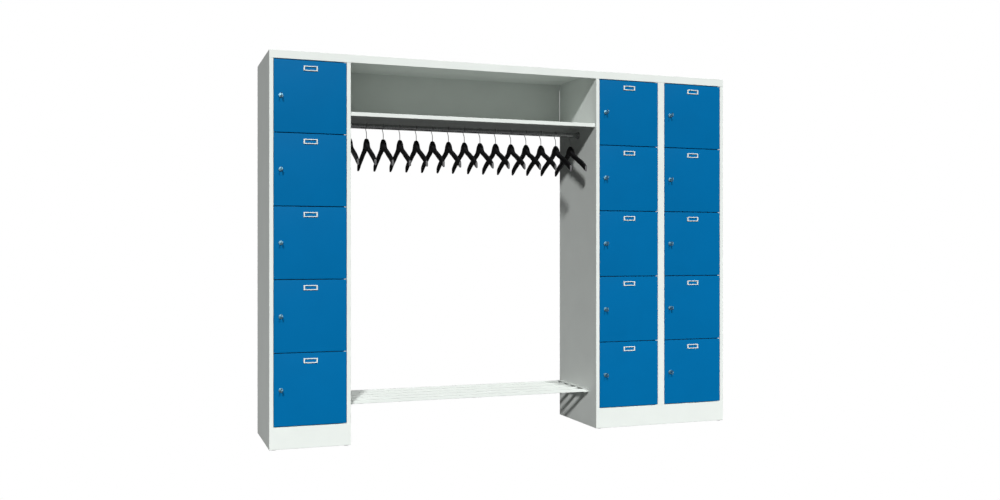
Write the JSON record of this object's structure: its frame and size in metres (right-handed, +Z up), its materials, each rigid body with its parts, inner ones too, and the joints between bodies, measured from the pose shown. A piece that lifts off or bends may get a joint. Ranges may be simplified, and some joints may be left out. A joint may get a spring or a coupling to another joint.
{
  "type": "cloakroom locker unit",
  "caption": "Steel cloakroom locker unit: door towers either side of an open coat bay with a hat shelf, a rail with hangers and a low shoe rack of square tubes.",
  "frame": {"origin": "on the floor, under the middle of the unit's width and of its depth with the keys in", "axes": "+X to the right seen from the front, +Y to the back, +Z up"},
  "size_m": [2.55, 0.54, 1.95],
  "materials": {
    "carcass_grey": "light grey powder coat, satin",
    "door_blue": "blue powder coat, satin",
    "lock_nickel": "nickel plated",
    "rail_steel": "bright plated tube",
    "zinc_steel": "zinc plated",
    "hanger_black": "moulded, satin",
    "foot_grey": "moulded"
  },
  "bodies": {
    "carcass": {"top_cover": "carcass_grey", "left_tower_walls": "carcass_grey", "right_tower_walls": "carcass_grey", "back_panels": "carcass_grey", "plinths": "carcass_grey", "hat_shelf": "carcass_grey", "compartment_floors": "carcass_grey", "hinge_tabs": "carcass_grey", "hinge_pins": "zinc_steel", "coat_rail": "rail_steel", "rail_flanges": "rail_steel", "shoe_rack_tubes": "carcass_grey", "shoe_rack_channels": "carcass_grey", "levelling_feet": "foot_grey", "fasteners": "zinc_steel"},
    "door_left_5": {"door_left_5": "door_blue"},
    "lock_left_5": {"lock_left_5": "lock_nickel"},
    "door_left_4": {"door_left_4": "door_blue"},
    "lock_left_4": {"lock_left_4": "lock_nickel"},
    "door_left_3": {"door_left_3": "door_blue"},
    "lock_left_3": {"lock_left_3": "lock_nickel"},
    "door_left_2": {"door_left_2": "door_blue"},
    "lock_left_2": {"lock_left_2": "lock_nickel"},
    "door_left_1": {"door_left_1": "door_blue"},
    "lock_left_1": {"lock_left_1": "lock_nickel"},
    "door_middle_5": {"door_middle_5": "door_blue"},
    "lock_middle_5": {"lock_middle_5": "lock_nickel"},
    "door_middle_4": {"door_middle_4": "door_blue"},
    "lock_middle_4": {"lock_middle_4": "lock_nickel"},
    "door_middle_3": {"door_middle_3": "door_blue"},
    "lock_middle_3": {"lock_middle_3": "lock_nickel"},
    "door_middle_2": {"door_middle_2": "door_blue"},
    "lock_middle_2": {"lock_middle_2": "lock_nickel"},
    "door_middle_1": {"door_middle_1": "door_blue"},
    "lock_middle_1": {"lock_middle_1": "lock_nickel"},
    "door_right_5": {"door_right_5": "door_blue"},
    "lock_right_5": {"lock_right_5": "lock_nickel"},
    "door_right_4": {"door_right_4": "door_blue"},
    "lock_right_4": {"lock_right_4": "lock_nickel"},
    "door_right_3": {"door_right_3": "door_blue"},
    "lock_right_3": {"lock_right_3": "lock_nickel"},
    "door_right_2": {"door_right_2": "door_blue"},
    "lock_right_2": {"lock_right_2": "lock_nickel"},
    "door_right_1": {"door_right_1": "door_blue"},
    "lock_right_1": {"lock_right_1": "lock_nickel"},
    "hanger_01": {"hanger_01": "hanger_black"},
    "hanger_02": {"hanger_02": "hanger_black"},
    "hanger_03": {"hanger_03": "hanger_black"},
    "hanger_04": {"hanger_04": "hanger_black"},
    "hanger_05": {"hanger_05": "hanger_black"},
    "hanger_06": {"hanger_06": "hanger_black"},
    "hanger_07": {"hanger_07": "hanger_black"},
    "hanger_08": {"hanger_08": "hanger_black"},
    "hanger_09": {"hanger_09": "hanger_black"},
    "hanger_10": {"hanger_10": "hanger_black"},
    "hanger_11": {"hanger_11": "hanger_black"},
    "hanger_12": {"hanger_12": "hanger_black"},
    "hanger_13": {"hanger_13": "hanger_black"},
    "hanger_14": {"hanger_14": "hanger_black"},
    "hanger_15": {"hanger_15": "hanger_black"}
  },
  "joints": [
    {"name": "door_left_5_hinge", "type": "hinge", "parent": "carcass", "child": "door_left_5", "pos_m": [-0.90502, -0.224, 0.2916], "axis": [0, 0, 1], "range_deg": [0, 110]},
    {"name": "lock_left_5_turn", "type": "hinge", "parent": "door_left_5", "child": "lock_left_5", "pos_m": [-1.2194, -0.23, 0.2916], "axis": [0, 1, 0], "range_deg": [0, 90]},
    {"name": "door_left_4_hinge", "type": "hinge", "parent": "carcass", "child": "door_left_4", "pos_m": [-0.90502, -0.224, 0.6508], "axis": [0, 0, 1], "range_deg": [0, 110]},
    {"name": "lock_left_4_turn", "type": "hinge", "parent": "door_left_4", "child": "lock_left_4", "pos_m": [-1.2194, -0.23, 0.6508], "axis": [0, 1, 0], "range_deg": [0, 90]},
    {"name": "door_left_3_hinge", "type": "hinge", "parent": "carcass", "child": "door_left_3", "pos_m": [-0.90502, -0.224, 1.01], "axis": [0, 0, 1], "range_deg": [0, 110]},
    {"name": "lock_left_3_turn", "type": "hinge", "parent": "door_left_3", "child": "lock_left_3", "pos_m": [-1.2194, -0.23, 1.01], "axis": [0, 1, 0], "range_deg": [0, 90]},
    {"name": "door_left_2_hinge", "type": "hinge", "parent": "carcass", "child": "door_left_2", "pos_m": [-0.90502, -0.224, 1.3692], "axis": [0, 0, 1], "range_deg": [0, 110]},
    {"name": "lock_left_2_turn", "type": "hinge", "parent": "door_left_2", "child": "lock_left_2", "pos_m": [-1.2194, -0.23, 1.3692], "axis": [0, 1, 0], "range_deg": [0, 90]},
    {"name": "door_left_1_hinge", "type": "hinge", "parent": "carcass", "child": "door_left_1", "pos_m": [-0.90502, -0.224, 1.7284], "axis": [0, 0, 1], "range_deg": [0, 110]},
    {"name": "lock_left_1_turn", "type": "hinge", "parent": "door_left_1", "child": "lock_left_1", "pos_m": [-1.2194, -0.23, 1.7284], "axis": [0, 1, 0], "range_deg": [0, 90]},
    {"name": "door_middle_5_hinge", "type": "hinge", "parent": "carcass", "child": "door_middle_5", "pos_m": [0.84498, -0.224, 0.2916], "axis": [0, 0, 1], "range_deg": [0, 110]},
    {"name": "lock_middle_5_turn", "type": "hinge", "parent": "door_middle_5", "child": "lock_middle_5", "pos_m": [0.5306, -0.23, 0.2916], "axis": [0, 1, 0], "range_deg": [0, 90]},
    {"name": "door_middle_4_hinge", "type": "hinge", "parent": "carcass", "child": "door_middle_4", "pos_m": [0.84498, -0.224, 0.6508], "axis": [0, 0, 1], "range_deg": [0, 110]},
    {"name": "lock_middle_4_turn", "type": "hinge", "parent": "door_middle_4", "child": "lock_middle_4", "pos_m": [0.5306, -0.23, 0.6508], "axis": [0, 1, 0], "range_deg": [0, 90]},
    {"name": "door_middle_3_hinge", "type": "hinge", "parent": "carcass", "child": "door_middle_3", "pos_m": [0.84498, -0.224, 1.01], "axis": [0, 0, 1], "range_deg": [0, 110]},
    {"name": "lock_middle_3_turn", "type": "hinge", "parent": "door_middle_3", "child": "lock_middle_3", "pos_m": [0.5306, -0.23, 1.01], "axis": [0, 1, 0], "range_deg": [0, 90]},
    {"name": "door_middle_2_hinge", "type": "hinge", "parent": "carcass", "child": "door_middle_2", "pos_m": [0.84498, -0.224, 1.3692], "axis": [0, 0, 1], "range_deg": [0, 110]},
    {"name": "lock_middle_2_turn", "type": "hinge", "parent": "door_middle_2", "child": "lock_middle_2", "pos_m": [0.5306, -0.23, 1.3692], "axis": [0, 1, 0], "range_deg": [0, 90]},
    {"name": "door_middle_1_hinge", "type": "hinge", "parent": "carcass", "child": "door_middle_1", "pos_m": [0.84498, -0.224, 1.7284], "axis": [0, 0, 1], "range_deg": [0, 110]},
    {"name": "lock_middle_1_turn", "type": "hinge", "parent": "door_middle_1", "child": "lock_middle_1", "pos_m": [0.5306, -0.23, 1.7284], "axis": [0, 1, 0], "range_deg": [0, 90]},
    {"name": "door_right_5_hinge", "type": "hinge", "parent": "carcass", "child": "door_right_5", "pos_m": [1.24498, -0.224, 0.2916], "axis": [0, 0, 1], "range_deg": [0, 110]},
    {"name": "lock_right_5_turn", "type": "hinge", "parent": "door_right_5", "child": "lock_right_5", "pos_m": [0.9306, -0.23, 0.2916], "axis": [0, 1, 0], "range_deg": [0, 90]},
    {"name": "door_right_4_hinge", "type": "hinge", "parent": "carcass", "child": "door_right_4", "pos_m": [1.24498, -0.224, 0.6508], "axis": [0, 0, 1], "range_deg": [0, 110]},
    {"name": "lock_right_4_turn", "type": "hinge", "parent": "door_right_4", "child": "lock_right_4", "pos_m": [0.9306, -0.23, 0.6508], "axis": [0, 1, 0], "range_deg": [0, 90]},
    {"name": "door_right_3_hinge", "type": "hinge", "parent": "carcass", "child": "door_right_3", "pos_m": [1.24498, -0.224, 1.01], "axis": [0, 0, 1], "range_deg": [0, 110]},
    {"name": "lock_right_3_turn", "type": "hinge", "parent": "door_right_3", "child": "lock_right_3", "pos_m": [0.9306, -0.23, 1.01], "axis": [0, 1, 0], "range_deg": [0, 90]},
    {"name": "door_right_2_hinge", "type": "hinge", "parent": "carcass", "child": "door_right_2", "pos_m": [1.24498, -0.224, 1.3692], "axis": [0, 0, 1], "range_deg": [0, 110]},
    {"name": "lock_right_2_turn", "type": "hinge", "parent": "door_right_2", "child": "lock_right_2", "pos_m": [0.9306, -0.23, 1.3692], "axis": [0, 1, 0], "range_deg": [0, 90]},
    {"name": "door_right_1_hinge", "type": "hinge", "parent": "carcass", "child": "door_right_1", "pos_m": [1.24498, -0.224, 1.7284], "axis": [0, 0, 1], "range_deg": [0, 110]},
    {"name": "lock_right_1_turn", "type": "hinge", "parent": "door_right_1", "child": "lock_right_1", "pos_m": [0.9306, -0.23, 1.7284], "axis": [0, 1, 0], "range_deg": [0, 90]},
    {"name": "hanger_01_swing", "type": "hinge", "parent": "carcass", "child": "hanger_01", "pos_m": [-0.834, 0.007, 1.625], "axis": [1, 0, 0], "range_deg": [-12, 12]},
    {"name": "hanger_02_swing", "type": "hinge", "parent": "carcass", "child": "hanger_02", "pos_m": [-0.744, 0.007, 1.625], "axis": [1, 0, 0], "range_deg": [-12, 12]},
    {"name": "hanger_03_swing", "type": "hinge", "parent": "carcass", "child": "hanger_03", "pos_m": [-0.654, 0.007, 1.625], "axis": [1, 0, 0], "range_deg": [-12, 12]},
    {"name": "hanger_04_swing", "type": "hinge", "parent": "carcass", "child": "hanger_04", "pos_m": [-0.564, 0.007, 1.625], "axis": [1, 0, 0], "range_deg": [-12, 12]},
    {"name": "hanger_05_swing", "type": "hinge", "parent": "carcass", "child": "hanger_05", "pos_m": [-0.474, 0.007, 1.625], "axis": [1, 0, 0], "range_deg": [-12, 12]},
    {"name": "hanger_06_swing", "type": "hinge", "parent": "carcass", "child": "hanger_06", "pos_m": [-0.384, 0.007, 1.625], "axis": [1, 0, 0], "range_deg": [-12, 12]},
    {"name": "hanger_07_swing", "type": "hinge", "parent": "carcass", "child": "hanger_07", "pos_m": [-0.294, 0.007, 1.625], "axis": [1, 0, 0], "range_deg": [-12, 12]},
    {"name": "hanger_08_swing", "type": "hinge", "parent": "carcass", "child": "hanger_08", "pos_m": [-0.204, 0.007, 1.625], "axis": [1, 0, 0], "range_deg": [-12, 12]},
    {"name": "hanger_09_swing", "type": "hinge", "parent": "carcass", "child": "hanger_09", "pos_m": [-0.114, 0.007, 1.625], "axis": [1, 0, 0], "range_deg": [-12, 12]},
    {"name": "hanger_10_swing", "type": "hinge", "parent": "carcass", "child": "hanger_10", "pos_m": [-0.024, 0.007, 1.625], "axis": [1, 0, 0], "range_deg": [-12, 12]},
    {"name": "hanger_11_swing", "type": "hinge", "parent": "carcass", "child": "hanger_11", "pos_m": [0.066, 0.007, 1.625], "axis": [1, 0, 0], "range_deg": [-12, 12]},
    {"name": "hanger_12_swing", "type": "hinge", "parent": "carcass", "child": "hanger_12", "pos_m": [0.156, 0.007, 1.625], "axis": [1, 0, 0], "range_deg": [-12, 12]},
    {"name": "hanger_13_swing", "type": "hinge", "parent": "carcass", "child": "hanger_13", "pos_m": [0.246, 0.007, 1.625], "axis": [1, 0, 0], "range_deg": [-12, 12]},
    {"name": "hanger_14_swing", "type": "hinge", "parent": "carcass", "child": "hanger_14", "pos_m": [0.336, 0.007, 1.625], "axis": [1, 0, 0], "range_deg": [-12, 12]},
    {"name": "hanger_15_swing", "type": "hinge", "parent": "carcass", "child": "hanger_15", "pos_m": [0.426, 0.007, 1.625], "axis": [1, 0, 0], "range_deg": [-12, 12]}
  ]
}
